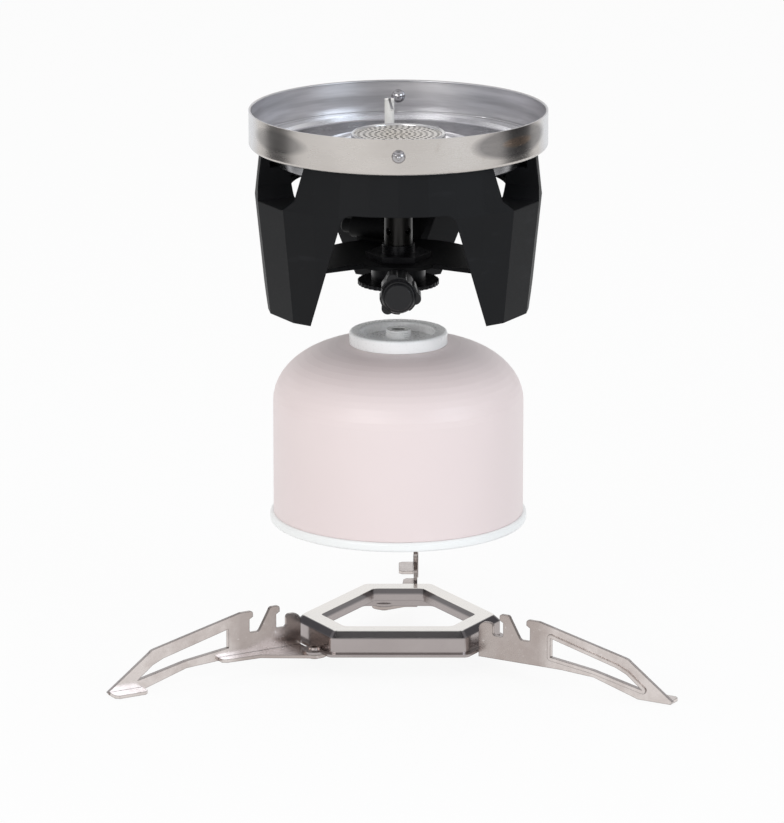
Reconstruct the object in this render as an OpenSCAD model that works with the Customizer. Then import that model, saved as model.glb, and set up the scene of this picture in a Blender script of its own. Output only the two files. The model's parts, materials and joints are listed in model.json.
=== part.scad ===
// Camping stove: burner head, gas canister and folding canister stand, lifted apart on one axis.
// Millimetres. Z is up, the ground is z = 0, and the knob faces -Y.

/* [Layout] */
// Height of the canister's rim above the ground
canister_z = 60.5; // [45:0.5:120]
// Height of the burner's feet above the canister's collar
burner_gap = 12; // [2:0.5:60]

/* [Canister] */
// Outer radius of the rolled bottom rim
rim_r = 55; // [53:0.5:57]
// Outer radius of the can's wall
can_r = 53.5; // [50:0.5:54]
// Height of the can from its rim to the top of its collar
can_h = 83; // [72:1:110]
// Height of the domed shoulder
dome_h = 25; // [18:1:30]
// Wall of the can
can_t = 0.6; // [0.5:0.1:1]
// Outer radius of the collar
collar_r = 20.9; // [18:0.1:23]
// Height of the collar above the dome
collar_h = 5.5; // [4:0.5:8]
// Outer radius of the threaded nipple
thread_r = 5.5; // [5:0.1:6]
// Pitch of its thread
thread_pitch = 0.9; // [0.7:0.1:1.2]

/* [Stand] */
// Height of the frame's lower edge above the ground
frame_z = 8.8; // [7:0.2:14]
// Height of the pressed frame
frame_h = 10.6; // [8:0.2:14]
// Distance from the axis to each short side, which carries a leg
short_d = 42; // [40:0.5:44]
// Distance from the axis to each long side
long_d = 34.7; // [33:0.1:36]
// Width of the frame's top face and bevel
frame_w = 9.4; // [7:0.1:11]
// Thickness of the frame's sheet
frame_t = 1.2; // [0.8:0.1:1.6]
// Thickness of the legs' sheet
leg_t = 1.5; // [1:0.1:2]
// Outer radius of the wider rim that the outer notches take
wide_rim_r = 68; // [66:0.5:70]
// Distance from the axis to the tip of each foot
leg_reach = 137.5; // [125:0.5:150]
// Height of the hook tips above the ground
hook_z = 27.4; // [24:0.2:32]
// Radius of the leg rivets
rivet_r = 2; // [1.5:0.1:2.5]
// Distance from the axis to the rivets, measured along the leg
rivet_d = 45; // [44:0.5:47]
// Sideways distance from the leg's line to the rivets
rivet_side = 6.2; // [5:0.1:7]
// Sideways distance from the leg's line to its upright plate
plate_side = 6.9; // [6:0.1:9]

/* [Pot ring and dish] */
// Outer radius of the pot ring
ring_r = 63.3; // [61.5:0.1:66]
// Height of the pot ring's band
ring_h = 15.4; // [12:0.2:20]
// Wall of the pot ring
ring_t = 0.8; // [0.6:0.1:1.2]
// Wall of the flame dish
dish_t = 0.7; // [0.5:0.1:1]
// How far the dish's trough lies inside the pot ring
pan_in = 10.3; // [9.3:0.1:13.3]
// Depth of the dish's trough
pan_depth = 8; // [6:0.1:9]
// Radius of the raised middle of the dish
island_r = 33; // [29:0.5:38]
// Depth of the raised middle below the dish's rim
island_drop = 1.2; // [0.8:0.1:2]

/* [Burner] */
// Height of the burner from its feet to the ring's top edge
burner_h = 84; // [80:0.5:95]
// Outer radius of the burner cup
cup_r = 20; // [17:0.5:21]
// Height from the burner plate up to the ring's top edge
plate_drop = 10; // [8:0.5:12]
// Outer radius of the mixing tube
tube_r = 6; // [5:0.1:7]
// Radius of a hole in the burner plate
hole_r = 0.75; // [0.4:0.05:0.85]
// Rings of holes in the burner plate
hole_rings = 7; // [4:1:8]

/* [Shroud] */
// How far the shroud's top edge lies inside the pot ring
shroud_top_in = 3.9; // [1.5:0.1:5]
// How far its corners at the leg ledges lie inside the pot ring
shroud_mid_in = 0.4; // [0:0.1:3]
// How far its feet lie inside the pot ring
shroud_foot_in = 5.8; // [3:0.1:8]
// Wall of the shroud
shroud_t = 2.2; // [1.6:0.1:3]
// Height of the ledges under the leg windows
ledge_z = 49; // [44:0.5:54]
// Height of the arches between the legs
arch_h = 50.5; // [42:0.5:54]
// Depth of the flanges inside the arches and leg windows, at the feet
flange_depth = 9.5; // [5:0.5:12]
// Height of the base plate above the feet
base_z = 18; // [16:0.5:22]
// Thickness of the base plate
base_t = 1.8; // [1.2:0.1:2.6]
// Radius of the base plate behind the knob
plate_r = 36.5; // [30:0.5:40]
// Half the width of its arms
arm_w = 4.4; // [4:0.1:7]

/* [Valve and knob] */
// Height of the valve's flange above the feet
flange_z = 8.6; // [7:0.1:11]
// Radius of the valve's flange
flange_r = 17.3; // [15:0.1:19]
// Height of the knob's axis above the feet
knob_z = 13.5; // [13:0.1:14.5]
// Distance from the burner's axis to the knob's face
knob_reach = 47; // [44:0.5:52]
// Radius of the knob's body
knob_r = 8; // [7:0.1:8.6]
// Radius over the knob's lobes
lobe_r = 9.6; // [9:0.1:10.4]
// Length of the knob
knob_l = 13; // [10:0.5:15]
// Radius of the valve spindle
spindle_r = 2; // [1.5:0.1:2.5]

/* [Igniter] */
// Radius of the ceramic electrode
ceramic_r = 2.1; // [1.6:0.1:2.2]
// Distance from the axis to the electrode
electrode_d = 26.6; // [26.4:0.1:29]
// Radius of the igniter's body
igniter_r = 4.6; // [4:0.1:5]
// Travel of the igniter's button
button_travel = 4; // [2:0.5:5]

/* [Fits] */
// Radial clearance of pins and spindles that turn
run_gap = 0.06; // [0.02:0.01:0.1]
// Clearance between pieces that lift apart
lift_gap = 0.3; // [0.2:0.05:0.5]

/* [Hidden] */
$fn = 96;

leg_angles = [210, 330, 90];
fold_limit = 144;
burner_z = canister_z + can_h + burner_gap;

// ---------- colours ----------
steel = [0.74, 0.72, 0.69];
dark_steel = [0.55, 0.54, 0.53];
black = [0.07, 0.075, 0.085];
pink = [0.90, 0.82, 0.83];
white = [0.95, 0.95, 0.95];
brass = [0.78, 0.62, 0.32];

// ---------- shared shapes ----------

// Points of an arc about c, from angle a0 to a1
function arc(c, r, a0, a1, n = 6) =
    [for (i = [0:n]) let (a = a0 + (a1 - a0) * i / n) c + r * [cos(a), sin(a)]];

module at_burner() translate([0, 0, burner_z]) children();

// Turns the Z axis of its children to point out of the front
module facing_front(y, z) translate([0, y, z]) rotate([90, 0, 0]) children();

module ring(r_out, r_in, z, h) translate([0, 0, z]) difference() {
    cylinder(r = r_out, h = h);
    translate([0, 0, -1]) cylinder(r = r_in, h = h + 2);
}

// ---------- stand ----------
frame_top = frame_z + frame_h;
frame_bevel = 2.6;
frame_flange = 1.8;
inner_skirt = 5.7;
corner_r = 3;
tab_r = rivet_r + 3.4;
head_r = rivet_d - short_d - 0.1;
head_t = 1.1;
flange_bottom = frame_z - leg_t;
leg_in = short_d + frame_flange + 0.6;
leg_flange_end = 84.5;
rim_w = 2.4;
notch_gap = 1.3;
notch_z = 17.5;
lobe_z = 23;
lip = 1.7;
elbow = [115.7, 17.1];
low_elbow = [100, 6.4];
foot_in = 121.2;
foot_t = 1.4;
foot_w = 6.5;
bead_w = 1.6;
bead_t = 0.6;
window_in = 79.5;
window_top = 20.6;
window_low = 12.2;
window_elbow = [111, 12.4];
window_out = [123.5, 4.4];
window_under = [100, 9.6];

// Corner of the frame between the short side facing angle a and the long side next to it
function frame_corner(a, side, grow) =
    let (s = short_d + grow, l = long_d + grow, half = (l - s * cos(60)) / sin(60))
    [s * cos(a) - side * half * sin(a), s * sin(a) + side * half * cos(a)];

module frame_outline(grow) polygon([for (a = leg_angles, side = [-1, 1], p = arc(
    frame_corner(a, side, grow - corner_r), corner_r, a + (side > 0 ? 0 : -60), a + (side > 0 ? 60 : 0), 4)) p]);

module frame_slab(grow, z, h = 0.01) translate([0, 0, z]) linear_extrude(h) frame_outline(grow);

// Sloping part of the frame between its skirt and its top face, solid inside
module frame_slope(inset) hull() {
    frame_slab(-inset, frame_top - frame_bevel - inset);
    frame_slab(-inset - frame_bevel, frame_top - inset - 0.01);
}

module rivet_place(a) rotate([0, 0, a]) translate([rivet_d, rivet_side, 0]) children();

module stand_frame() color(steel) difference() {
    union() {
        difference() {
            union() {
                frame_slab(0, frame_z, frame_h - frame_bevel);
                frame_slope(0);
            }
            frame_slab(-frame_t, frame_z - 1, frame_h - frame_bevel - frame_t + 1);
            frame_slope(frame_t);
            frame_slab(-frame_w, frame_z - 1, frame_h + 2);
        }
        difference() {
            frame_slab(frame_t - frame_w, frame_top - inner_skirt, inner_skirt - frame_t / 2);
            frame_slab(-frame_w, frame_z - 1, frame_h + 2);
        }
        difference() {
            frame_slab(frame_flange, frame_z, frame_t);
            frame_slab(-frame_t / 2, frame_z - 1, frame_h);
        }
        for (a = leg_angles) {
            rivet_place(a) translate([0, 0, frame_z]) cylinder(r = tab_r, h = frame_t);
            rotate([0, 0, a]) translate([short_d - frame_t / 2, rivet_side - tab_r, frame_z])
                cube([rivet_d - short_d + frame_t / 2, 2 * tab_r, frame_t]);
        }
    }
    for (a = leg_angles) rivet_place(a) translate([0, 0, frame_z - 1])
        cylinder(r = rivet_r + run_gap, h = frame_t + 2);
}

module leg_rivets() color(steel) for (a = leg_angles) rivet_place(a) difference() {
    union() {
        translate([0, 0, flange_bottom - head_t]) cylinder(r1 = head_r - 0.6, r2 = head_r, h = head_t);
        translate([0, 0, flange_bottom - 0.01]) cylinder(r = rivet_r, h = leg_t + frame_t + 0.02);
        translate([0, 0, frame_z + frame_t]) cylinder(r1 = head_r, r2 = head_r - 0.6, h = head_t);
    }
    translate([0, 0, frame_z + frame_t + 0.2]) cylinder(r = rivet_r * 0.55, h = head_t + 1);
}

// Side view of a leg: x is the distance from the axis, y is the height
function leg_profile() =
    let (n1 = rim_r - rim_w - notch_gap, n2 = rim_r + notch_gap,
         m1 = wide_rim_r - rim_w - notch_gap, m2 = wide_rim_r + notch_gap)
    concat(
        [[leg_in, flange_bottom]],
        arc([leg_in + 3.5, lobe_z - 3.5], 3.5, 180, 90),
        arc([n1 - 1.5, lobe_z - 1.5], 1.5, 90, 0, 3),
        arc([n1 + 1, notch_z + 1], 1, 180, 270, 3),
        arc([n2 - 1, notch_z + 1], 1, 270, 360, 3),
        [[n2, hook_z - 3.6], [n2 - lip, hook_z - 2.6]],
        arc([n2 - lip + 1, hook_z - 1], 1, 180, 90, 3),
        arc([n2 + 2, hook_z - 1.4], 1.4, 90, 10, 3),
        [[m1, notch_z + 0.6], [m1 + 0.8, notch_z]],
        arc([m2 - 1, notch_z + 1], 1, 270, 360, 3),
        [[m2, hook_z - 4], [m2 - lip, hook_z - 3]],
        arc([m2 - lip + 1, hook_z - 1.5], 1, 180, 90, 3),
        arc([m2 + 4, hook_z - 2.5], 2, 90, 76, 2),
        arc(elbow - [1.2, 4], 4, 76, 42, 3),
        [[leg_reach, 1.2], [leg_reach - 0.8, 0], [foot_in, 0], low_elbow, [leg_flange_end, flange_bottom]]);

// Long opening through a leg, grown all round by e
module leg_window(e = 0) offset(r = e)
    polygon([[window_in, window_low], [window_in, window_top], window_elbow,
             window_elbow + [5, -2.2], window_out, window_under]);

module leg() translate([0, -plate_side, 0]) {
    rotate([90, 0, 0]) linear_extrude(leg_t) difference() {
        polygon(leg_profile());
        leg_window();
    }
    rotate([90, 0, 0]) translate([0, 0, leg_t - 0.01]) linear_extrude(bead_t) difference() {
        leg_window(bead_w);
        leg_window();
    }
    translate([0, 0, flange_bottom]) difference() {
        union() {
            linear_extrude(leg_t) polygon([
                [leg_in, -leg_t], [leg_flange_end, -leg_t], [leg_flange_end, 3.2], [leg_flange_end - 2, 4.5],
                [rivet_d + 22, 5.5], [rivet_d + tab_r * 0.8, plate_side + rivet_side + tab_r * 0.6],
                [rivet_d - tab_r * 0.8, plate_side + rivet_side - tab_r * 0.6], [leg_in, 4]]);
            translate([rivet_d, plate_side + rivet_side, 0]) cylinder(r = tab_r, h = leg_t);
        }
        translate([rivet_d, plate_side + rivet_side, -1]) cylinder(r = rivet_r + run_gap, h = leg_t + 2);
    }
    linear_extrude(foot_t) polygon([
        [foot_in, -leg_t], [leg_reach - 0.8, -leg_t], [leg_reach - 0.8, foot_w - 1.5], [leg_reach - 2.3, foot_w],
        [foot_in + 1.5, foot_w], [foot_in, foot_w - 1.5]]);
}

module leg_left() color(steel) rotate([0, 0, leg_angles[0]]) leg();
module leg_right() color(steel) rotate([0, 0, leg_angles[1]]) leg();
module leg_back() color(steel) rotate([0, 0, leg_angles[2]]) leg();

// ---------- canister ----------
rim_h = 4;
base_rise = 6;
recess_r = collar_r - 5.3;
collar_floor = 1.6;
nipple_base_r = thread_r + 1.5;
nipple_rise = 0.6;
dome_z = can_h - collar_h - dome_h;

module at_canister() translate([0, 0, canister_z]) children();

// Quarter ellipse from the wall of the can up to its collar
function dome(inset, n = 14) =
    [for (i = [0:n]) let (a = 90 * i / n)
        [collar_r - 2 + (can_r - inset - collar_r + 2) * cos(a), dome_z + (dome_h - inset) * sin(a)]];

module canister_can() color(pink) at_canister() rotate_extrude()
    polygon(concat([[can_r - can_t, rim_h], [can_r, rim_h]], dome(0), [for (i = [14:-1:0]) dome(can_t)[i]]));

function base_curve(z) = [for (i = [0:12]) let (r = (rim_r - rim_w + 0.2) * i / 12)
    [r, z + base_rise * (1 - pow(i / 12, 2))]];

module canister_base() color(white) at_canister() {
    rotate_extrude() {
        translate([rim_r - rim_w / 2, rim_w / 2]) circle(r = rim_w / 2, $fn = 32);
        translate([rim_r - rim_w / 2, rim_h - rim_w / 2]) circle(r = rim_w / 2, $fn = 32);
        translate([rim_r - rim_w, rim_w / 2]) square([rim_w, rim_h - rim_w]);
        translate([can_r - 1.2, rim_h - rim_w / 2]) square([1.2, rim_w / 2]);
    }
    rotate_extrude() polygon(concat(base_curve(1.6), [for (i = [12:-1:0]) base_curve(2.4)[i]]));
}

module canister_collar() color(white) at_canister() translate([0, 0, can_h - collar_h]) rotate_extrude() {
    translate([recess_r, 0]) square([collar_r - recess_r, collar_h - 1.2]);
    translate([recess_r + 1.2, collar_h - 1.2]) circle(r = 1.2, $fn = 32);
    translate([collar_r - 1.2, collar_h - 1.2]) circle(r = 1.2, $fn = 32);
    translate([recess_r + 1.2, collar_h - 1.3]) square([collar_r - recess_r - 2.4, 1.3]);
    translate([nipple_base_r, 0]) square([recess_r - nipple_base_r + 0.1, collar_floor]);
}

module canister_nipple() color(white) at_canister() translate([0, 0, can_h - collar_h]) difference() {
    union() {
        cylinder(r = nipple_base_r, h = collar_floor + 1);
        cylinder(r = thread_r - 0.4, h = collar_h + nipple_rise);
        for (z = [collar_floor + 1.6:thread_pitch:collar_h + nipple_rise - 1])
            translate([0, 0, z]) cylinder(r1 = thread_r, r2 = thread_r - 0.4, h = thread_pitch * 0.6);
    }
    translate([0, 0, -1]) cylinder(r = 2, h = collar_h + nipple_rise + 2);
    translate([0, 0, collar_h + nipple_rise - 1.5]) cylinder(r = 3, h = 2);
}

module canister_seal() color(black) at_canister()
    ring(2.95, 1.2, can_h + nipple_rise - 1.5, 1.2);

// ---------- pot ring and dish ----------
ring_z = burner_h - ring_h;
ring_lip = 0.5;
seat_w = 7;
rim_z = ring_z + ring_t;
pan_r = ring_r - pan_in;
pan_z = rim_z + dish_t - pan_depth;
pan_rim = 1.8;
pan_step = 2;
island_h = pan_depth - island_drop;
bead_h = 0.9;
stud_z = ring_z + ring_h * 0.54;
stud_r = 1.5;
stud_head_r = 3;
stud_dome_r = 3.3;
stud_dome_in = 1.6;
stud_back_r = 3.2;
stud_back_in = 1.2;
stud_pip_r = 1.25;
stud_sag = stud_head_r * stud_head_r / (2 * (ring_r - ring_t)) + 0.03;
hole_edge = cup_r + 1.6;

module pot_ring() color(steel) at_burner() difference() {
    rotate_extrude() {
        translate([ring_r - ring_t, ring_z + 1.5]) square([ring_t, ring_h - 1.5]);
        translate([ring_r - ring_t / 2 - 0.1, burner_h - ring_lip]) circle(r = ring_lip, $fn = 24);
        translate([ring_r - 1.5 - seat_w, ring_z]) square([seat_w, ring_t]);
        intersection() {
            translate([ring_r - 1.5, ring_z + 1.5]) difference() {
                circle(r = 1.5, $fn = 32);
                circle(r = 1.5 - ring_t, $fn = 32);
            }
            translate([ring_r - 1.5, ring_z]) square(1.5);
        }
    }
    for (side = [-1, 1]) facing_front(side * (ring_r + 1) + (side > 0 ? 0 : 3), stud_z)
        cylinder(r = stud_r + 0.02, h = 3);
}

// Stud along Z through a wall whose outside is at z = 0
module stud() {
    translate([0, 0, -ring_t - stud_sag]) cylinder(r = stud_r, h = ring_t + stud_sag + 0.4);
    rotate_extrude($fn = 48) intersection() {
        translate([0, -stud_dome_in]) circle(r = stud_dome_r, $fn = 64);
        square(2 * stud_dome_r);
    }
    translate([0, 0, stud_dome_r - stud_dome_in - 0.2]) sphere(r = stud_pip_r, $fn = 32);
    translate([0, 0, -ring_t - stud_sag]) mirror([0, 0, 1]) rotate_extrude($fn = 48) intersection() {
        translate([0, -stud_back_in]) circle(r = stud_back_r, $fn = 64);
        square(2 * stud_back_r);
    }
}

module ring_studs() color(steel) at_burner() for (a = [0, 180])
    rotate([0, 0, a]) facing_front(-ring_r, stud_z) stud();

// Side view of the dish: distance from the axis and height above the floor of its trough
function dish_profile(z) = [for (p = concat(
        [[ring_r - 1.8, pan_depth], [pan_r + pan_rim, pan_depth], [pan_r + 1.2, pan_depth - pan_step + 0.5],
         [pan_r - 0.2, pan_depth - pan_step], [pan_r - 0.8, 1], [pan_r - 1.8, 0]],
        [for (i = [0:4]) [pan_r - 5.5 - i * 1.2, bead_h * sin(45 * i)]],
        [[island_r + 3.2, 0], [island_r + 2.2, 1], [island_r + 0.6, island_h - 0.8], [island_r - 0.6, island_h]],
        [for (i = [0:4]) [island_r - 2.6 - i, island_h + bead_h * 0.6 * sin(45 * i)]],
        [[hole_edge, island_h]])) [p[0], pan_z + p[1] + z]];

electrode_x = -3.8;
electrode_y = sqrt(electrode_d * electrode_d - electrode_x * electrode_x);

module flame_dish() color(steel) at_burner() difference() {
    rotate_extrude() polygon(concat(dish_profile(-dish_t),
        [for (i = [len(dish_profile(0)) - 1:-1:0]) dish_profile(0)[i]]));
    translate([electrode_x, electrode_y, pan_z]) cylinder(r = ceramic_r + 0.1, h = 2 * pan_depth);
}

// ---------- burner ----------
plate_z = burner_h - plate_drop;
plate_t = 0.8;
cup_floor = 58;
cup_t = 0.9;
rim_round = 0.8;
neck_z = cup_floor - 8;
seat_z = pan_z + island_h;
seat_out = 3.6;
seat_top = plate_z - rim_round - plate_t;
valve_top = 26;

module burner_cup() color(steel) at_burner() rotate_extrude() polygon(concat(
    [[tube_r + run_gap, neck_z], [tube_r + 1, neck_z], [tube_r + 1, cup_floor - 3], [cup_r, cup_floor]],
    [[cup_r, seat_z], [cup_r + seat_out, seat_z], [cup_r + seat_out, seat_z + cup_t], [cup_r, seat_z + cup_t]],
    arc([cup_r - rim_round, plate_z - rim_round], rim_round, 0, 180, 8),
    [[cup_r - 2 * rim_round, seat_top], [cup_r - 3, seat_top], [cup_r - 3, seat_top - cup_t],
     [cup_r - cup_t, seat_top - cup_t - 0.5], [cup_r - cup_t, cup_floor + 0.6],
     [tube_r + run_gap, cup_floor - 2]]));

module burner_plate() color(steel) at_burner() translate([0, 0, seat_top]) linear_extrude(plate_t)
    difference() {
        circle(r = cup_r - 2 * rim_round - run_gap);
        circle(r = hole_r, $fn = 6);
        for (k = [1:hole_rings], i = [0:6 * k - 1])
            rotate(360 * i / (6 * k) + 7 * k)
                translate([k * (cup_r - 3) / hole_rings, 0]) circle(r = hole_r, $fn = 6);
    }

module mixing_tube() color(steel) at_burner() difference() {
    ring(tube_r, tube_r - 0.8, valve_top, cup_floor - 4.5 - valve_top);
    for (a = [45, 135]) translate([0, 0, valve_top + 6]) rotate([0, 90, a])
        cylinder(r = 1.6, h = 4 * tube_r, center = true);
}

module gas_jet() color(brass) at_burner() difference() {
    union() {
        translate([0, 0, valve_top]) cylinder(r = 3.6, h = 2.4, $fn = 6);
        translate([0, 0, valve_top + 2.4]) cylinder(r1 = 2, r2 = 1.3, h = 3);
    }
    translate([0, 0, valve_top - 1]) cylinder(r = 0.4, h = 8);
}

// ---------- shroud ----------
shroud_top_r = ring_r - shroud_top_in;
shroud_mid_r = ring_r - shroud_mid_in;
shroud_foot_r = ring_r - shroud_foot_in;
arch_w0 = 37;
arch_w1 = 24.2;
arch_corner = 5;
panel_half = 24;
facet_half = 10;
foot_belly = 1.4;
ledge_belly = 1.9;
top_belly = 0.5;
window_low_w = 10.5;
window_mid_w = 15.8;
window_top_w = 19.1;
window_step = 4.7;
window_over = 5;
boss_in = 10.5;
boss_d = shroud_foot_r - boss_in;
boss_r = 3.4;
boss_h = 12;
rib_t = 2;
screw_r = 1.4;
screw_l = 10;
screw_head_r = 2.7;
screw_head_h = 1.6;
hub_r = 20;
core_r = shroud_foot_r - shroud_t - flange_depth;
core_z = pan_z - dish_t - 0.3;

// Outline of the shroud at a corner radius r, whose curved panels lie b further in
function shroud_outline(r, b) = [for (a = leg_angles) for (p = concat(
        [[-facet_half, r], [facet_half, r]],
        [for (i = [0:6]) [panel_half + (120 - 2 * panel_half) * i / 6, r - b]]))
    p[1] * [cos(a + p[0]), sin(a + p[0])]];

module shroud_slab(r, b, z) translate([0, 0, z]) linear_extrude(0.01) polygon(shroud_outline(r, b));

module shroud_loft(inset, z0, z1) {
    hull() {
        shroud_slab(shroud_foot_r - inset, foot_belly, z0);
        shroud_slab(shroud_mid_r - inset, ledge_belly, ledge_z);
    }
    hull() {
        shroud_slab(shroud_mid_r - inset, ledge_belly, ledge_z);
        shroud_slab(shroud_top_r - inset, top_belly, z1 - 0.01);
    }
}

// Face-on outline of an arch, grown by e
function arch_outline(e) =
    let (w0 = arch_w0 + e, w1 = arch_w1 + e, h = arch_h + e, r = arch_corner + e)
    concat([[w0, -1]], arc([w1 - r, h - r], r, 14, 90), arc([r - w1, h - r], r, 90, 166), [[-w0, -1]]);

// Face-on outline of a leg's window, grown by e
function window_outline(e) =
    let (half = [[window_low_w + e, ledge_z - e], [window_mid_w + e, ledge_z + window_step - e / 2],
                 [window_top_w + e, ring_z + window_over]])
    concat(half, [for (i = [2:-1:0]) [-half[i][0], half[i][1]]]);

// Pushes an outline out from the axis towards angle a
module outward(a, points) rotate([0, 0, a + 90]) rotate([90, 0, 0])
    translate([0, 0, hub_r]) linear_extrude(ring_r) polygon(points);

module shroud() color(black) at_burner() {
    difference() {
        shroud_loft(0, 0, ring_z);
        difference() {
            shroud_loft(shroud_t, -1, ring_z + 1);
            for (a = leg_angles) {
                outward(a + 60, arch_outline(shroud_t));
                outward(a, window_outline(shroud_t));
            }
        }
        translate([0, 0, -1]) cylinder(r = core_r, h = core_z + 1);
        translate([0, 0, core_z - 0.01]) cylinder(r = pan_r + pan_rim + 0.4, h = ring_z);
        for (a = leg_angles) {
            outward(a + 60, arch_outline(0));
            outward(a, window_outline(0));
        }
    }
    for (a = leg_angles) rotate([0, 0, a]) difference() {
        union() {
            translate([boss_d, 0, base_z + base_t]) cylinder(r = boss_r, h = boss_h);
            translate([boss_d + rib_t, -rib_t / 2, base_z + base_t])
                cube([shroud_foot_r - boss_d - rib_t, rib_t, boss_h]);
        }
        translate([boss_d, 0, base_z]) cylinder(r = screw_r + 0.05, h = boss_h);
    }
}

// Round plate with an arm to each leg, cut away in front on both sides of the knob
module plate_outline() {
    circle(r = hub_r);
    difference() {
        circle(r = plate_r);
        polygon([for (p = [[0, 0], [2, leg_angles[0]], [3, 270], [2, leg_angles[1]]])
            p[0] * plate_r * [cos(p[1]), sin(p[1])]]);
    }
    for (a = leg_angles) rotate(a) translate([0, -arm_w]) square([boss_d + boss_r + 1.5, 2 * arm_w]);
}

module base_plate() color(black) at_burner() difference() {
    translate([0, 0, base_z]) linear_extrude(base_t) plate_outline();
    translate([0, 0, base_z - 1]) cylinder(r = valve_r + run_gap, h = base_t + 2);
    for (a = leg_angles) rotate([0, 0, a]) translate([boss_d, 0, base_z - 1])
        cylinder(r = screw_r + 0.1, h = base_t + 2);
}

module plate_screws() color(dark_steel) at_burner() for (a = leg_angles) rotate([0, 0, a]) {
    translate([boss_d, 0, base_z - screw_head_h])
        cylinder(r1 = screw_head_r - 0.5, r2 = screw_head_r, h = screw_head_h);
    translate([boss_d, 0, base_z - 0.01]) cylinder(r = screw_r, h = screw_l);
}

// ---------- valve and knob ----------
valve_r = 11.5;
flange_t = 1.6;
arm_r = knob_z - flange_z - flange_t - 0.1;
boss_y = 31;
gland_r = 6.5;
gland_y = hub_r + 0.6;
knob_back = knob_reach - knob_l;
cap_r = 5.9;
cap_t = 1.4;
knurls = 36;
lobe_angles = [110, 230, 350];
lobe_round = 2.6;
scoop_r = 4;

module valve_body() color(black) at_burner() difference() {
    union() {
        translate([0, 0, flange_z]) cylinder(r = valve_r - 2, h = flange_t);
        translate([0, 0, flange_z + flange_t]) cylinder(r = valve_r, h = base_z + base_t - flange_z - flange_t);
        translate([0, 0, base_z + base_t]) cylinder(r = valve_r + 2.4, h = 2.6, $fn = 6);
        translate([0, 0, base_z + base_t]) cylinder(r = tube_r + 1, h = valve_top - base_z - base_t);
        facing_front(0, knob_z) cylinder(r = arm_r, h = boss_y - 2);
        facing_front(-gland_y, knob_z) cylinder(r1 = gland_r - 1.5, r2 = gland_r, h = 3);
        facing_front(-gland_y - 2.9, knob_z) cylinder(r = gland_r, h = boss_y - gland_y - 2.9);
    }
    translate([0, 0, flange_z - 1]) cylinder(r = thread_r + lift_gap, h = nipple_rise + 3.4);
    translate([0, 0, flange_z]) cylinder(r = 0.9, h = valve_top);
    facing_front(-6, knob_z) cylinder(r = spindle_r + run_gap, h = boss_y);
}

module valve_flange() color(black) at_burner() difference() {
    translate([0, 0, flange_z]) cylinder(r = flange_r, h = flange_t);
    translate([0, 0, flange_z - 1]) cylinder(r = valve_r - 2 + run_gap, h = flange_t + 2);
    for (i = [0:knurls - 1]) rotate([0, 0, 360 * i / knurls]) translate([flange_r + 0.5, 0, flange_z - 1])
        cylinder(r = 1, h = flange_t + 2, $fn = 8);
}

module valve_seal() color(black) at_burner() translate([0, 0, flange_z + nipple_rise + 1])
    ring(thread_r + lift_gap - 0.05, 3, 0, 1.3);

module spindle() color(brass) at_burner() facing_front(-8, knob_z) cylinder(r = spindle_r, h = knob_reach - 8 - 4);

module knob() color(black) at_burner() facing_front(-knob_back, knob_z) difference() {
    union() {
        cylinder(r = knob_r - 0.7, h = knob_l - 1.5);
        translate([0, 0, 1.5]) linear_extrude(knob_l - 4) difference() {
            union() {
                circle(r = knob_r);
                for (a = lobe_angles) rotate(a) translate([lobe_r - lobe_round, 0]) circle(r = lobe_round);
            }
            for (a = lobe_angles) rotate(a + 60) translate([knob_r + scoop_r - 1.1, 0]) circle(r = scoop_r);
        }
        translate([0, 0, knob_l - 1.5]) cylinder(r1 = knob_r - 0.7, r2 = knob_r - 1.5, h = 1.5);
    }
    translate([0, 0, -1]) cylinder(r = spindle_r + 0.02, h = knob_l - 3);
    translate([0, 0, knob_l - 1.6]) cylinder(r = cap_r + 0.05, h = 2);
}

module knob_cap() color(black) at_burner() facing_front(-knob_reach + 1.6, knob_z) {
    cylinder(r = cap_r, h = cap_t + 0.6);
    translate([0, 0, cap_t + 0.6]) cylinder(r1 = cap_r, r2 = cap_r - 0.7, h = 0.7);
}

// ---------- igniter ----------
ceramic_z = 50;
slot_h = 6;
slot_w = 1;
slot_tilt = 15;
wire_r = 0.45;
igniter_l = 22;
igniter_at = [0, 26];
igniter_a = 150;
igniter_flat = 6;
igniter_block = 17;
wire_hook = 4;
button_r = 3;
button_out = 5.5;
igniter_z = base_z + base_t + igniter_r + 0.6;

module electrode_ceramic() color(white) at_burner() translate([electrode_x, electrode_y, 0]) difference() {
    union() {
        translate([0, 0, ceramic_z]) cylinder(r = ceramic_r + 0.7, h = seat_z - dish_t - ceramic_z, $fn = 32);
        translate([0, 0, ceramic_z]) cylinder(r = ceramic_r, h = burner_h - 1 - ceramic_z, $fn = 32);
    }
    translate([0, 0, ceramic_z - 1]) cylinder(r = wire_r + 0.05, h = burner_h, $fn = 24);
    translate([0.9, -slot_h / 2, burner_h - slot_h]) rotate([0, -slot_tilt, 0])
        cube([slot_w, slot_h, slot_h + 2]);
}

module electrode_wire() color(dark_steel) at_burner() translate([electrode_x, electrode_y, 0]) {
    translate([0, 0, ceramic_z - 4]) cylinder(r = wire_r, h = burner_h - 1 - ceramic_z + 4, $fn = 24);
    translate([0, 0, burner_h - 1]) sphere(r = wire_r, $fn = 24);
    translate([0, 0, burner_h - 1]) rotate([70, 0, 0]) cylinder(r = wire_r, h = wire_hook, $fn = 24);
}

// Turns X to run out along the igniter
module at_igniter() at_burner() translate([igniter_at[0], igniter_at[1], igniter_z])
    rotate([0, 0, igniter_a]) rotate([0, 90, 0]) children();

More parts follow.
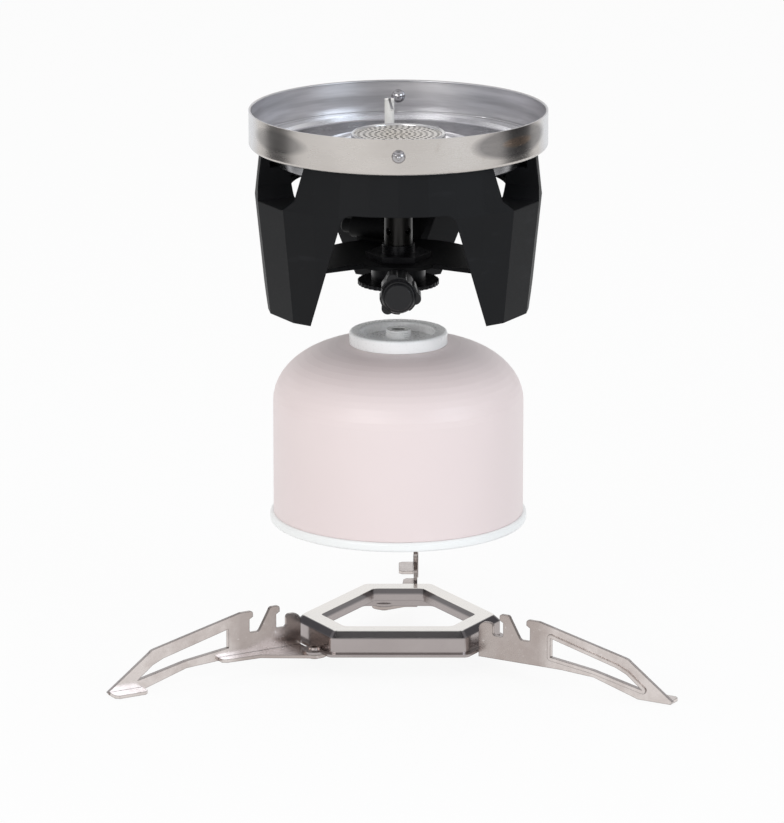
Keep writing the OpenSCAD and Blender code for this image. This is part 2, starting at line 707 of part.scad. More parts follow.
module igniter_body() color(black) at_igniter() difference() {
    union() {
        cylinder(r = igniter_r, h = igniter_l);
        translate([0, -igniter_flat / 2, 2]) cube([igniter_r + 0.6, igniter_flat, igniter_block]);
    }
    translate([0, 0, igniter_l - button_out - button_travel - 1])
        cylinder(r = button_r + run_gap, h = button_out + button_travel + 2);
}

module igniter_button() color(dark_steel) at_igniter() {
    translate([0, 0, igniter_l - button_out]) cylinder(r = button_r, h = 2 * button_out - 1);
    translate([0, 0, igniter_l + button_out - 1]) cylinder(r1 = button_r, r2 = button_r - 0.8, h = 0.8);
}

stand_frame();
leg_rivets();
leg_left();
leg_right();
leg_back();
canister_can();
canister_base();
canister_collar();
canister_nipple();
canister_seal();
pot_ring();
ring_studs();
flame_dish();
burner_cup();
burner_plate();
mixing_tube();
gas_jet();
shroud();
base_plate();
plate_screws();
valve_body();
valve_flange();
valve_seal();
spindle();
knob();
knob_cap();
electrode_ceramic();
electrode_wire();
igniter_body();
igniter_button();
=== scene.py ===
import json
from math import cos, radians, sin, tan

import bpy
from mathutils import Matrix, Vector


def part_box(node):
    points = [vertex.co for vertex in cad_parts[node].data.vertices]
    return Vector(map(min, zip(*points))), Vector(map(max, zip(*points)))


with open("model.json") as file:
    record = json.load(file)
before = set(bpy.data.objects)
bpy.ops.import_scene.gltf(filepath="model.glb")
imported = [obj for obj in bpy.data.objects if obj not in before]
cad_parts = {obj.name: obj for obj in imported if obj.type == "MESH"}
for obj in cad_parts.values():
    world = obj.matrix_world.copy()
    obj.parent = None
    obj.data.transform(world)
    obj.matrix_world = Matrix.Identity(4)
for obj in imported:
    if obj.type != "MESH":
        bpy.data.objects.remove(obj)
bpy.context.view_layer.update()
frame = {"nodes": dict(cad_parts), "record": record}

# ---------- places on the stove that the camera and the finishes go by ----------

RING_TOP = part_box("pot_ring")[1].z
RING_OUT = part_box("pot_ring")[1].x
FRAME_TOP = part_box("stand_frame")[1].z
TUBE_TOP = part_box("mixing_tube")[1].z
CUP_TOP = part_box("burner_cup")[1].z
CUP_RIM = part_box("burner_cup")[1].x
PLATE_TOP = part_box("burner_plate")[1].z

# ---------- camera ----------

BURNER_VIEW = radians(11.6)         # how steeply the camera looks down on the pot ring
CAMERA_FAR = 2.4
AIM = Vector((-0.0027, 0.0, 0.1076))
VIEW_HEIGHT = 0.3472574             # height of the view at the pot ring
SENSOR_MM = 36.0
FARTHEST_SEEN = 50


def make_camera():
    """A long lens that sees the pot ring a little from above."""
    spot = Vector((AIM.x, -CAMERA_FAR, RING_TOP + CAMERA_FAR * tan(BURNER_VIEW)))
    look = AIM - spot
    data = bpy.data.cameras.new("camera")
    camera = bpy.data.objects.new("camera", data)
    bpy.context.scene.collection.objects.link(camera)
    camera.location = spot
    camera.rotation_euler = look.to_track_quat("-Z", "Y").to_euler()
    depth = (Vector((0, 0, RING_TOP)) - spot).dot(look.normalized())
    data.sensor_width = SENSOR_MM
    data.lens = SENSOR_MM * depth / VIEW_HEIGHT
    data.clip_end = FARTHEST_SEEN
    bpy.context.scene.camera = camera


make_camera()

# ---------- shader writing ----------

EDGE_COSINE = (0.86, 0.99)          # of the angle between rounded and flat normal: on an edge, and off it
NOISE_SPAN = (0.3, 0.7)             # where most of a noise's values lie


class Wire:
    """A shader socket that takes part in sums."""

    def __init__(self, finish, socket):
        self.finish = finish
        self.socket = socket

    def _math(self, operation, a, b):
        return self.finish.add("ShaderNodeMath", {"operation": operation}, {0: a, 1: b})

    def __add__(self, other):
        return self._math("ADD", self, other)

    def __radd__(self, other):
        return self._math("ADD", other, self)

    def __sub__(self, other):
        return self._math("SUBTRACT", self, other)

    def __rsub__(self, other):
        return self._math("SUBTRACT", other, self)

    def __mul__(self, other):
        return self._math("MULTIPLY", self, other)

    def __rmul__(self, other):
        return self._math("MULTIPLY", other, self)

    def __truediv__(self, other):
        return self._math("DIVIDE", self, other)

    def __rtruediv__(self, other):
        return self._math("DIVIDE", other, self)


class Finish:
    """The nodes of one material or of the world, made one call at a time."""

    def __init__(self, tree):
        self.tree = tree
        tree.nodes.clear()

    def add(self, kind, settings=None, values=None, out=0):
        """Makes a node from its settings and then its sockets' values or links, and gives one output."""
        node = self.tree.nodes.new(kind)
        for name, value in (settings or {}).items():
            if name == "stops":
                self._set_stops(node.color_ramp, value)
            else:
                setattr(node, name, value)
        for name, value in (values or {}).items():
            socket = node.inputs[name]
            if isinstance(value, Wire):
                self.tree.links.new(value.socket, socket)
            elif isinstance(value, (tuple, list)) and len(value) == 3 and len(socket.default_value) == 4:
                socket.default_value = (*value, 1.0)
            else:
                socket.default_value = value
        return Wire(self, node.outputs[out]) if node.outputs else None

    def _set_stops(self, ramp, stops):
        while len(ramp.elements) < len(stops):
            ramp.elements.new(0.5)
        for element, (place, colour) in zip(ramp.elements, stops):
            element.position = place
            element.color = (*colour, 1.0)

    def place(self):
        """Where a point of the surface lies, in metres."""
        return self.add("ShaderNodeTexCoord", out="Object")

    def split(self, vector):
        """The three parts of a vector."""
        first = self.add("ShaderNodeSeparateXYZ", None, {0: vector})
        return [Wire(self, socket) for socket in first.socket.node.outputs]

    def join(self, x, y, z):
        return self.add("ShaderNodeCombineXYZ", None, {0: x, 1: y, 2: z})

    def stretch(self, vector, factors):
        return self.add("ShaderNodeVectorMath", {"operation": "MULTIPLY"}, {0: vector, 1: factors})

    def noise(self, vector, scale, detail=3.0, rough=0.5):
        return self.add("ShaderNodeTexNoise", None, {
            "Vector": vector, "Scale": scale, "Detail": detail, "Roughness": rough})

    def spread(self, value, low, high, at_low, at_high):
        """Goes from at_low to at_high as value goes from low to high, and is held there on both sides."""
        return self.add("ShaderNodeMapRange", {"clamp": True}, {
            "Value": value, "From Min": low, "From Max": high, "To Min": at_low, "To Max": at_high})

    def rise(self, value, low, high):
        """0 up to low, growing to 1 at high."""
        return self.spread(value, low, high, 0.0, 1.0)

    def fade(self, value, low, high):
        """1 up to low, falling to 0 at high."""
        return self.spread(value, low, high, 1.0, 0.0)

    def vary(self, noise, at_low, at_high):
        """A measure that follows a noise from at_low to at_high."""
        return self.spread(noise, *NOISE_SPAN, at_low, at_high)

    def mix(self, share, a, b, blend="MIX"):
        """Colour a, turning to b as share goes from 0 to 1."""
        return self.add("ShaderNodeMix", {"data_type": "RGBA", "blend_type": blend},
                        {0: share, 6: a, 7: b}, out=2)

    def bump(self, height, strength, distance, normal=None):
        values = {"Height": height, "Strength": strength, "Distance": distance}
        if normal is not None:
            values["Normal"] = normal
        return self.add("ShaderNodeBump", None, values)

    def surface(self, **values):
        """Ends the material in a Principled shader."""
        names = {"colour": "Base Color", "metal": "Metallic", "rough": "Roughness", "normal": "Normal",
                 "coat": "Coat Weight", "coat_rough": "Coat Roughness", "specular": "Specular IOR Level"}
        shader = self.add("ShaderNodeBsdfPrincipled", None, {names[k]: v for k, v in values.items()})
        self.add("ShaderNodeOutputMaterial", None, {"Surface": shader})


def material(name, build, *words):
    made = bpy.data.materials.new(name)
    made.use_nodes = True
    build(Finish(made.node_tree), *words)
    return made


def hypot(f, x, y):
    """Distance from the stove's axis."""
    return f.add("ShaderNodeMath", {"operation": "SQRT"}, {0: x * x + y * y})


def angle_round(f, x, y):
    """Angle round the axis, 0 at the knob's side and growing to the right, in radians."""
    return f.add("ShaderNodeMath", {"operation": "ARCTAN2"}, {0: x, 1: y * -1.0})


def rounded(f, radius):
    """Normal with small radii on the edges, as on pressed and moulded pieces."""
    return f.add("ShaderNodeBevel", {"samples": 4}, {"Radius": radius})


def edge_line(f, radius):
    """1 along the edges of a sheet, 0 on its faces."""
    flat = f.add("ShaderNodeNewGeometry", out="True Normal")
    soft = f.add("ShaderNodeBevel", {"samples": 6}, {"Radius": radius})
    cosine = f.add("ShaderNodeVectorMath", {"operation": "DOT_PRODUCT"}, {0: flat, 1: soft}, out="Value")
    return f.fade(cosine, *EDGE_COSINE)


# ---------- stainless steel of the stand ----------

# The dark lines along the sheets' edges are painted reflections.
EDGE_REFLECTION_WIDTH = 0.0006                  # width of the dark lines along a sheet's edges
PLATE_END = 0.074                   # how far from the axis the legs' hooked plates end
ARM_START = 0.082                   # how far from it the legs' open arms start
# Heights between which the frame's bevel, painted dark as a painted reflection, and its polished top face,
# painted pale as a painted reflection, come in
BEVEL_PAINTED_DARK = (FRAME_TOP - 0.0032, FRAME_TOP - 0.0022)
TOP_PAINTED_PALE = (FRAME_TOP - 0.0003, FRAME_TOP - 0.0001)


def satin_stainless(f):
    """Tumbled stainless sheet with faint scratches, warm stains and painted dark reflections along its
    edges.
    """
    place = f.place()
    x, y = f.split(place)[:2]
    cloud = f.noise(place, 38.0, 4.0, 0.6)
    grain = f.noise(f.stretch(place, (1.0, 1.0, 0.4)), 2200.0, 2.0)
    scratch = f.rise(f.noise(f.stretch(place, (160.0, 900.0, 500.0)), 1.0, 2.0), 0.67, 0.73)
    stain = f.rise(f.noise(place, 80.0, 5.0, 0.65), 0.42, 0.72)
    arm = f.rise(hypot(f, x, y), PLATE_END, ARM_START)
    colour = f.mix(cloud, (0.40, 0.350, 0.330), (0.52, 0.465, 0.44))
    colour = f.mix(arm * 0.6, colour, (0.86, 0.80, 0.775))
    colour = f.mix(stain * 0.5, colour, (0.34, 0.275, 0.25))
    colour = f.mix(scratch * 0.35, colour, (0.74, 0.71, 0.69))
    # Painted dark reflections along the sheet's edges.
    colour = f.mix(edge_line(f, EDGE_REFLECTION_WIDTH) * 0.75, colour, (0.06, 0.055, 0.055))
    rough = f.spread(cloud * 0.6 + grain * 0.4, 0.25, 0.75, 0.17, 0.32) - scratch * 0.06
    f.surface(colour=colour, metal=1.0, rough=rough,
              normal=f.bump(grain * 0.4 + scratch * 0.5, 0.05, 0.00008))


def polished_frame(f):
    """The stand's frame: the same sheet, polished on its top face, which is painted pale as a painted
    reflection, with a bevel round it painted dark as a painted reflection.
    """
    place = f.place()
    height = f.split(place)[2]
    bevel = f.rise(height, *BEVEL_PAINTED_DARK)
    face = f.rise(height, *TOP_PAINTED_PALE)
    cloud = f.noise(place, 42.0, 4.0, 0.6)
    grain = f.noise(place, 2200.0, 2.0)
    scratch = f.rise(f.noise(f.stretch(place, (300.0, 300.0, 900.0)), 1.0, 2.0), 0.68, 0.74)
    colour = f.mix(cloud, (0.34, 0.30, 0.295), (0.46, 0.42, 0.41))
    # Painted reflections: a dark band on the bevel, a pale top face, and dark lines along the edges off the
    # top face.
    colour = f.mix(bevel * 0.85, colour, (0.10, 0.095, 0.10))
    colour = f.mix(face, colour, f.mix(cloud, (0.80, 0.765, 0.73), (0.93, 0.905, 0.87)))
    colour = f.mix(edge_line(f, EDGE_REFLECTION_WIDTH) * (1.0 - face) * 0.5, colour, (0.05, 0.048, 0.05))
    rough = f.spread(cloud * 0.7 + grain * 0.3, 0.25, 0.75, 0.16, 0.28) - bevel * 0.08
    f.surface(colour=colour, metal=1.0, rough=rough,
              normal=f.bump(grain * 0.4 + scratch * 0.4, 0.04, 0.00008))


# ---------- stainless steel of the burner ----------

# A patch on the ring: its middle and half its width round the axis in degrees, its lowest and highest
# point from the ring's top in metres, and the share of it that is full before it starts to fade
# The left and right dark patches are painted dark reflections.
LEFT_DARK_REFLECTION = (-54, 17, -0.0112, -0.0015, 0.55)
RIGHT_DARK_REFLECTION = (51, 22, -0.0122, 0.0015, 0.70)
STRAW_GLOW = (52, 9, -0.0080, -0.0035, 0.35)
# The pale bluish patches at the ring's two sides are painted reflections.
PALE_SIDE_REFLECTIONS = ((-88, 20, -0.03, 0.02, 0.35), (88, 20, -0.03, 0.02, 0.35))
PATCH_END = 1.15                    # where a patch has faded out, as a share of its size squared
# Radii between which the look of the ring's inside goes and that of its outside comes in
RING_INSIDE = (RING_OUT - 0.0006, RING_OUT - 0.0004)
RING_OUTSIDE = (RING_OUT - 0.0005, RING_OUT - 0.0003)

# How bright the painted reflections of the dish's polished ridges and its darker creases are, by their
# radius
DISH_RIDGE_REFLECTIONS = (
    (0.0200, 0.90), (0.0280, 0.85), (0.0330, 1.00), (0.0350, 0.85), (0.0364, 0.45), (0.0378, 0.90),
    (0.0412, 1.00), (0.0426, 0.85), (0.0440, 1.00), (0.0462, 1.00), (0.0476, 0.80), (0.0490, 1.00),
    (0.0514, 1.00), (0.0528, 0.35), (0.0540, 0.90), (0.0586, 1.00), (0.0602, 0.45), (0.0618, 0.90))
DISH_SPAN = 0.070                   # radius at the ramp's far end
DISH_HEAT = (0.018, 0.044)          # radii between which its heat colour fades
PLATE_STRAW = (0.002, 0.016)        # radii between which the burner plate's straw colour fades
# Radii and heights between which the soot in the burner's cup ends
SOOT_RADII = (CUP_RIM - 0.0045, CUP_RIM - 0.0040)
SOOT_HEIGHTS = (CUP_TOP - 0.0018, CUP_TOP - 0.0012)
# Heights between which the painted shade in the burner plate's holes ends and the lighter top end of its
# tube comes in
HOLE_SHADE_HEIGHTS = (PLATE_TOP - 0.00008, PLATE_TOP - 0.00002)
TUBE_LIGHTER_TOP = (TUBE_TOP - 0.012, TUBE_TOP - 0.003)


def patch(f, turn, up, spot):
    """1 inside a soft oval patch on the ring, 0 outside."""
    middle, half, low, high, full = spot
    side = (turn - radians(middle)) / radians(half)
    level = (up - (low + high) / 2) / ((high - low) / 2)
    return f.fade(side * side + level * level, full, PATCH_END)


def ring_stainless(f):
    """Rolled band: fine lines along the sheet, handling marks, two dark patches and two pale bluish ones
    that are painted reflections, and a brushed inside whose lighter, bluer colour is a painted highlight.
    """
    place = f.place()
    x, y, z = f.split(place)
    turn = angle_round(f, x, y)
    up = z - RING_TOP
    radius = hypot(f, x, y)
    outside = f.rise(radius, *RING_OUTSIDE)
    inside = f.fade(radius, *RING_INSIDE)
    lines = f.noise(f.join(x * 3.0, y * 3.0, z * 3200.0), 1.0, 1.0)
    cloud = f.noise(f.stretch(place, (1.0, 1.0, 2.2)), 26.0, 4.0, 0.62)
    mark = f.rise(f.noise(place, 140.0, 3.0), 0.62, 0.72)
    wisp = f.spread(f.noise(f.stretch(place, (40.0, 40.0, 220.0)), 1.0, 3.0), 0.3, 0.6, 0.82, 1.0)
    brushed = f.rise(f.noise(f.join(x * 24.0, y * 24.0, z * 260.0), 1.0, 3.0), 0.35, 0.65)
    side_reflection = patch(f, turn, up, PALE_SIDE_REFLECTIONS[0]) + patch(f, turn, up, PALE_SIDE_REFLECTIONS[1])
    dark_reflection = patch(f, turn, up, LEFT_DARK_REFLECTION) * 0.60 + patch(f, turn, up, RIGHT_DARK_REFLECTION) * 0.82
    glow = patch(f, turn, up, STRAW_GLOW)
    colour = f.mix(cloud, (0.50, 0.465, 0.44), (0.63, 0.60, 0.57))
    # Painted pale bluish reflections at the ring's two sides.
    colour = f.mix(side_reflection * outside * 0.55, colour, (0.72, 0.76, 0.82))
    colour = f.mix(mark * outside * 0.2, colour, (0.42, 0.37, 0.33))
    # Painted dark reflections in two patches on the outside.
    colour = f.mix(dark_reflection * wisp * outside * 0.85, colour, (0.11, 0.105, 0.11))
    colour = f.mix(glow * wisp * outside * 0.7, colour, (0.50, 0.35, 0.25))
    # The inside's brushed streaks are its grain; its colour, lighter and bluer than the outside's, is a
    # painted highlight.
    colour = f.mix(inside * 0.85, colour, f.mix(brushed, (0.50, 0.50, 0.52), (0.78, 0.775, 0.80)))
    rough = f.vary(cloud * 0.8 + lines * 0.2, 0.22, 0.32) + inside * 0.06
    f.surface(colour=colour, metal=1.0, rough=rough,
              normal=f.bump(lines * (1.0 - inside), 0.012, 0.00003))


def spun_stainless(f):
    """Pressed and spun steel with fine rings round the axis, bright and dark rings by radius that are
    painted reflections of its ridges, and a little heat colour.
    """
    place = f.place()
    x, y, z = f.split(place)
    radius = hypot(f, x, y)
    rings = f.noise(f.join(radius * 3000.0, 0.0, z * 900.0), 1.0, 1.0)
    cloud = f.noise(place, 45.0, 4.0, 0.6)
    heat = f.fade(radius, *DISH_HEAT) * f.rise(cloud, 0.35, 0.7)
    stops = [(far / DISH_SPAN, (grey, grey, grey * 1.02)) for far, grey in DISH_RIDGE_REFLECTIONS]
    ridge_reflections = f.add("ShaderNodeValToRGB", {"stops": stops}, {"Fac": radius / DISH_SPAN})
    colour = f.mix(cloud, (0.66, 0.655, 0.67), (0.80, 0.795, 0.80))
    colour = f.mix(heat * 0.3, colour, (0.56, 0.48, 0.40))
    # Painted reflections of the dish's ridges, multiplied over its colour.
    colour = f.mix(0.85, colour, ridge_reflections, "MULTIPLY")
    f.surface(colour=colour, metal=1.0, rough=f.vary(rings * 0.4 + cloud * 0.6, 0.18, 0.32),
              normal=f.bump(rings, 0.03, 0.00003))


def burner_cup_steel(f):
    """Bright rolled rim and skirt outside, soot inside under the plate."""
    place = f.place()
    x, y, z = f.split(place)
    cloud = f.noise(place, 120.0, 4.0)
    soot = f.fade(hypot(f, x, y), *SOOT_RADII) * f.fade(z, *SOOT_HEIGHTS)
    colour = f.mix(cloud, (0.56, 0.55, 0.55), (0.72, 0.715, 0.71))
    colour = f.mix(soot, colour, (0.012, 0.011, 0.010))
    f.surface(colour=colour, metal=1.0 - soot * 0.9, rough=f.vary(cloud, 0.14, 0.26) + soot * 0.5,
              normal=f.bump(cloud, 0.03, 0.00004))


def punched_plate(f):
    """Thin bright sheet with painted shade in its holes, straw-coloured towards the middle."""
    place = f.place()
    x, y, z = f.split(place)
    cloud = f.noise(place, 160.0, 3.0)
    straw = f.fade(hypot(f, x, y), *PLATE_STRAW)
    hole_shade = f.fade(z, *HOLE_SHADE_HEIGHTS)
    colour = f.mix(cloud, (0.66, 0.62, 0.58), (0.80, 0.78, 0.75))
    colour = f.mix(straw * 0.3, colour, (0.66, 0.55, 0.42))
    # Painted shade on the walls of the holes.
    colour = f.mix(hole_shade, colour, (0.010, 0.009, 0.008))
    f.surface(colour=colour, metal=(1.0 - hole_shade) * 0.85, rough=f.vary(cloud, 0.30, 0.42),
              normal=f.bump(cloud, 0.05, 0.00005))


def painted_shade_tube(f):
    """Tube painted near black as painted shade under the shroud, lighter over its top end."""
    place = f.place()
    cloud = f.noise(f.stretch(place, (1.0, 1.0, 0.5)), 160.0, 4.0)
    lighter_top = f.rise(f.split(place)[2], *TUBE_LIGHTER_TOP)
    # Painted shade: near black below the tube's lighter top end.
    colour = f.mix(cloud, (0.010, 0.010, 0.010), (0.030, 0.028, 0.026))
    colour = f.mix(lighter_top * 0.7, colour, (0.30, 0.29, 0.28))
    f.surface(colour=colour, metal=0.7, rough=f.vary(cloud, 0.26, 0.40),
              normal=f.bump(cloud, 0.05, 0.00005, rounded(f, 0.0002)))


# ---------- plastic, paint and small pieces ----------

TIP_SOOT = (RING_TOP - 0.006, RING_TOP)     # heights between which soot builds up on the electrode


def moulded(f, dark, light, rough_low, rough_high, grain_size=1800.0, edge=0.0006, shine=0.11):
    """Black moulded plastic with a fine spark-eroded grain and slight rub marks."""
    place = f.place()
    grain = f.noise(place, grain_size, 2.0)
    cloud = f.noise(place, 30.0, 4.0, 0.6)
    rub = f.rise(f.noise(f.stretch(place, (60.0, 60.0, 240.0)), 1.0, 3.0), 0.60, 0.74)
    colour = f.mix(cloud, dark, light)
    colour = f.mix(rub * 0.25, colour, tuple(part * 2.2 for part in light))
    f.surface(colour=colour, rough=f.vary(cloud * 0.5 + grain * 0.5, rough_low, rough_high), specular=shine,
              normal=f.bump(grain, 0.12, 0.0001, rounded(f, edge)))


def dull_black(f):
    """Matt black moulding that is only seen in shade, painted darker than the shroud's black as painted
    shade.
    """
    moulded(f, (0.0035, 0.0036, 0.004), (0.006, 0.0062, 0.007), 0.50, 0.62, shine=0.12)


def black_anodised(f):
    """Turned aluminium, anodised black and slightly worn."""
    place = f.place()
    x, y, z = f.split(place)
    lines = f.noise(f.join(hypot(f, x, y) * 2600.0, 0.0, z * 2600.0), 1.0, 1.0)
    wear = f.rise(f.noise(place, 220.0, 3.0), 0.60, 0.75)
    colour = f.mix(wear * 0.4, (0.010, 0.010, 0.012), (0.05, 0.05, 0.055))
    f.surface(colour=colour, metal=0.4, specular=0.3, rough=f.vary(lines, 0.26, 0.40),
              normal=f.bump(lines, 0.10, 0.00006, rounded(f, 0.0003)))


def can_paint(f, low, high, rough_low, rough_high):
    """Thin satin paint on drawn steel, with the faintest orange peel."""
    place = f.place()
    peel = f.noise(place, 900.0, 2.0)
    cloud = f.noise(place, 18.0, 3.0)
    f.surface(colour=f.mix(cloud, low, high), rough=f.vary(cloud * 0.4 + peel * 0.6, rough_low, rough_high),
              coat=0.08, coat_rough=0.25, normal=f.bump(peel, 0.05, 0.00005, rounded(f, 0.0004)))


def valve_cup_painted_light(f):
    """The valve cup's white, painted paler than the can's white as painted light against the burner's shade.
    """
    can_paint(f, (0.94, 0.94, 0.94), (0.97, 0.97, 0.97), 0.24, 0.34)


def glazed_ceramic(f):
    """White glaze with a few specks, and a trace of soot towards the electrode's tip."""
    place = f.place()
    speck = f.rise(f.noise(place, 1500.0, 2.0), 0.64, 0.72)
    soot = f.spread(f.split(place)[2], *TIP_SOOT, 0.0, 0.25) * f.noise(place, 500.0)
    colour = f.mix(speck * 0.3 + soot, (0.88, 0.87, 0.84), (0.35, 0.32, 0.29))
    f.surface(colour=colour, rough=0.28 + speck * 0.1, coat=0.4,
              normal=f.bump(f.noise(place, 700.0), 0.05, 0.00005, rounded(f, 0.0003)))


def turned(f, dark, light, rough_low=0.18, rough_high=0.32):
    """Metal straight from the lathe."""
    place = f.place()
    x, y, z = f.split(place)
    lines = f.noise(f.join(hypot(f, x, y) * 900.0, y * 1400.0, z * 1800.0), 1.0, 2.0)
    cloud = f.noise(place, 120.0, 3.0)
    f.surface(colour=f.mix(cloud, dark, light), metal=1.0,
              rough=f.vary(lines * 0.6 + cloud * 0.4, rough_low, rough_high),
              normal=f.bump(lines, 0.08, 0.00005, rounded(f, 0.0002)))


def stud_steel(f):
    """Bright headed studs, a shade darker than the band."""
    turned(f, (0.34, 0.33, 0.34), (0.50, 0.49, 0.50), 0.08, 0.16)


def seal_rubber(f):
    """Black rubber with a dusty bloom."""
    bloom = f.noise(f.place(), 400.0, 4.0)
    f.surface(colour=f.mix(bloom, (0.010, 0.010, 0.010), (0.032, 0.031, 0.030)),
              rough=f.vary(bloom, 0.55, 0.75), normal=f.bump(bloom, 0.12, 0.0001))


def grey_seal(f):
    """The pale rubber in the canister's valve."""
    bloom = f.noise(f.place(), 500.0, 4.0)
    f.surface(colour=f.mix(bloom, (0.30, 0.30, 0.30), (0.42, 0.42, 0.41)),
              rough=f.vary(bloom, 0.5, 0.7), normal=f.bump(bloom, 0.1, 0.0001))


# ---------- which piece gets which finish ----------

# A slot's finish and what its function is given: a dark and a light colour, then the roughness between them
FINISHES = {
    "stand_steel": (satin_stainless,),
    "ring_steel": (ring_stainless,),
    "burner_steel": (spun_stainless,),
    "shroud_plastic": (moulded, (0.0062, 0.0064, 0.0070), (0.0100, 0.0105, 0.0118), 0.44, 0.56),
    "knob_plastic": (moulded, (0.0060, 0.0060, 0.0068), (0.011, 0.011, 0.0125), 0.24, 0.36,
                     2600.0, 0.0005, 0.28),
    "valve_black": (black_anodised,),
    "brass": (turned, (0.62, 0.44, 0.20), (0.80, 0.62, 0.34)),
    "seal_rubber": (seal_rubber,),
    "screw_steel": (turned, (0.36, 0.36, 0.37), (0.56, 0.56, 0.57), 0.22, 0.38),
    "ceramic": (glazed_ceramic,),
    "can_pink": (can_paint, (0.76, 0.655, 0.650), (0.80, 0.70, 0.695), 0.34, 0.46),
    "can_white": (can_paint, (0.85, 0.86, 0.855), (0.89, 0.90, 0.895), 0.26, 0.38),
}

# The pieces that don't take the finish of their slot
OWN_FINISHES = {
    "stand_frame": polished_frame,
    "burner_cup": burner_cup_steel,
    "burner_plate": punched_plate,
    "mixing_tube": painted_shade_tube,
    "igniter_body": dull_black,
    "igniter_button": dull_black,
    "base_plate": dull_black,
    # The valve cup's paler white is painted light.
    "canister_collar": valve_cup_painted_light,
    "canister_nipple": valve_cup_painted_light,
    "canister_seal": grey_seal,
    "ring_studs": stud_steel,
}


def finish_frame():
    """Gives every piece of the frame its own finish, or else the finish of its slot."""
    made = {name: material(name, *recipe) for name, recipe in FINISHES.items()}
    own = {node: material(node, finish) for node, finish in OWN_FINISHES.items()}
    slots = {entry["node"]: entry["material_slot"] for entry in frame["record"]["subparts"]}
    for node, piece in frame["nodes"].items():
        look = own.get(node) or made[slots[node]]
        if not piece.material_slots:
            piece.data.materials.append(look)
        for slot in piece.material_slots:
            slot.material = look


finish_frame()

# ---------- floor, light and reflections ----------

FLOOR_HALF = 6.0
FLOOR_DROP = 0.0002                 # keeps the floor just under the stand's feet
FLOOR_GLOW = 0.90                   # the rest of the floor's look is its shadow
AIM_HEIGHT = 0.12                   # where on the axis the two front lamps point

# The room's light by height, from straight below to straight above: plain for every surface
EVEN_LIGHT = (
    (0.0, (0.75, 0.75, 0.75)), (0.50, (0.84, 0.84, 0.84)), (0.75, (0.76, 0.76, 0.76)),
    (1.0, (0.70, 0.70, 0.70)))
# The same for reflections, with the pale panels and dark gaps that give bare metal its contrast
PANELS = (
    (0.0, (0.60, 0.60, 0.60)), (0.49, (0.60, 0.60, 0.60)), (0.515, (0.18, 0.18, 0.19)),
    (0.55, (0.92, 0.92, 0.92)), (0.65, (0.96, 0.96, 0.96)), (0.72, (0.24, 0.24, 0.26)),
    (0.83, (0.88, 0.88, 0.90)), (0.93, (0.70, 0.70, 0.72)), (0.97, (0.06, 0.06, 0.065)))


def pale_floor():
    """A pale floor that keeps the soft shadow and fades into the white room."""
    half = FLOOR_HALF
    corners = [(-half, -half, 0), (half, -half, 0), (half, half, 0), (-half, half, 0)]
    mesh = bpy.data.meshes.new("floor")
    mesh.from_pydata(corners, [], [(0, 1, 2, 3)])
    floor = bpy.data.objects.new("floor", mesh)
    bpy.context.scene.collection.objects.link(floor)
    floor.location.z = -FLOOR_DROP

    def build(f):
        seen = f.add("ShaderNodeLightPath", out="Is Camera Ray")
        shone = f.add("ShaderNodeLightPath", out="Is Glossy Ray")
        white = 1.0 - (1.0 - seen) * (1.0 - shone)
        colour = f.mix(f.noise(f.place(), 60.0), (0.86, 0.86, 0.86), (0.88, 0.88, 0.88))
        matt = f.add("ShaderNodeBsdfDiffuse", None, {"Color": colour})
        glow = f.add("ShaderNodeEmission", None, {"Color": (1.0, 1.0, 1.0), "Strength": 1.0})
        both = f.add("ShaderNodeMixShader", None, {0: white * FLOOR_GLOW, 1: matt, 2: glow})
        f.add("ShaderNodeOutputMaterial", None, {"Surface": both})

    mesh.materials.append(material("floor", build))


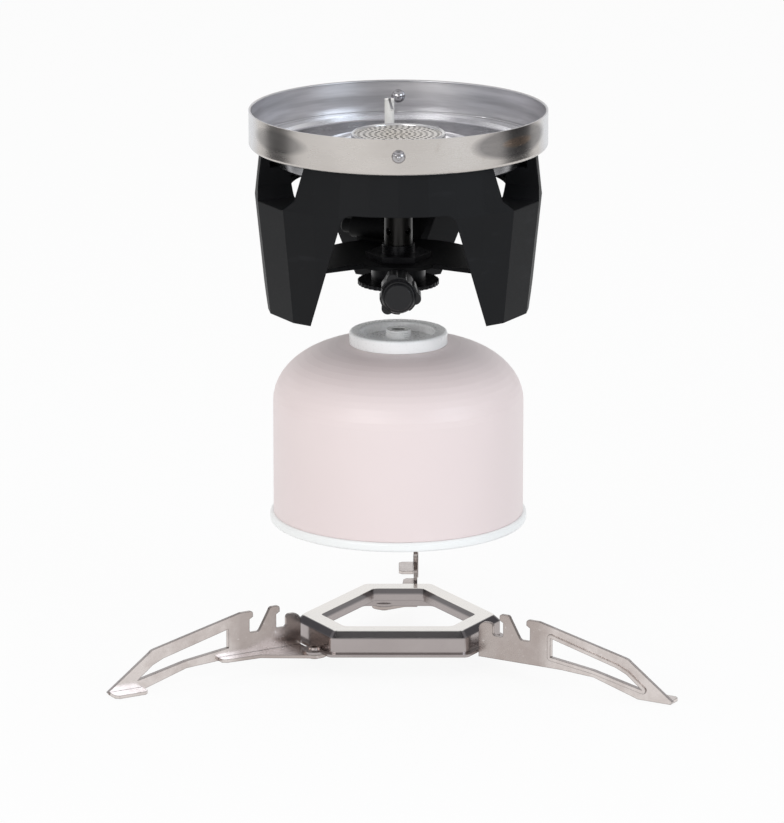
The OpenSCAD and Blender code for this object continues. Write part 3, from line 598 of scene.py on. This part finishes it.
def white_room():
    """Even light from all round, panels in the reflections, and plain white to the eye."""
    world = bpy.data.worlds.new("room")
    bpy.context.scene.world = world
    world.use_nodes = True
    f = Finish(world.node_tree)
    seen = f.add("ShaderNodeLightPath", out="Is Camera Ray")
    clear = f.add("ShaderNodeLightPath", out="Is Transmission Ray")
    shone = f.add("ShaderNodeLightPath", out="Is Glossy Ray")
    direction = f.add("ShaderNodeTexCoord", out="Generated")
    height = f.split(direction)[2] * 0.5 + 0.5
    even = f.add("ShaderNodeValToRGB", {"stops": EVEN_LIGHT}, {"Fac": height})
    panels = f.add("ShaderNodeValToRGB", {"stops": PANELS}, {"Fac": height})
    white = 1.0 - (1.0 - seen) * (1.0 - clear)
    colour = f.mix(white, f.mix(shone, even, panels), (1.0, 1.0, 1.0))
    back = f.add("ShaderNodeBackground", None, {"Color": colour, "Strength": 1.0})
    f.add("ShaderNodeOutputWorld", None, {"Surface": back})


def soft_box(name, spot, height, size, watts, colour=(1.0, 1.0, 1.0)):
    """A wide lamp that points at a height on the stove's axis."""
    data = bpy.data.lights.new(name, "AREA")
    data.shape = "RECTANGLE"
    data.size, data.size_y = size
    data.energy = watts
    data.color = colour
    lamp = bpy.data.objects.new(name, data)
    bpy.context.scene.collection.objects.link(lamp)
    lamp.location = spot
    lamp.rotation_euler = (Vector((0, 0, height)) - Vector(spot)).to_track_quat("-Z", "Y").to_euler()


def dark_card(name, centre, turn, width=0.34, height=0.26):
    """An upright dark card beside the stove, seen only in reflections."""
    across = Vector((cos(turn), sin(turn), 0)) * width / 2
    up = Vector((0, 0, height / 2))
    middle = Vector(centre)
    corners = [middle - across - up, middle + across - up, middle + across + up, middle - across + up]
    mesh = bpy.data.meshes.new(name)
    mesh.from_pydata(corners, [], [(0, 1, 2, 3)])
    card = bpy.data.objects.new(name, mesh)
    bpy.context.scene.collection.objects.link(card)
    card.visible_camera = False
    card.visible_diffuse = False
    card.visible_shadow = False
    card.visible_transmission = False

    def build(f):
        f.surface(colour=f.mix(f.noise(f.place(), 4.0), (0.03, 0.03, 0.032), (0.05, 0.05, 0.052)), rough=0.9)

    mesh.materials.append(material(name, build))


pale_floor()
white_room()
soft_box("key", (-0.9, -1.6, 0.75), AIM_HEIGHT, (1.1, 0.8), 9)
soft_box("fill", (1.3, -1.1, 0.65), AIM_HEIGHT, (0.9, 0.8), 6.5, (0.78, 0.89, 1.0))
soft_box("top", (0.0, 0.3, 1.6), 0.2, (1.2, 1.2), 3)
dark_card("dark_card_left", (-0.62, 0.12, 0.12), radians(65))
dark_card("dark_card_right", (0.60, 0.10, 0.12), radians(-65))

bpy.context.scene.view_settings.view_transform = "Standard"
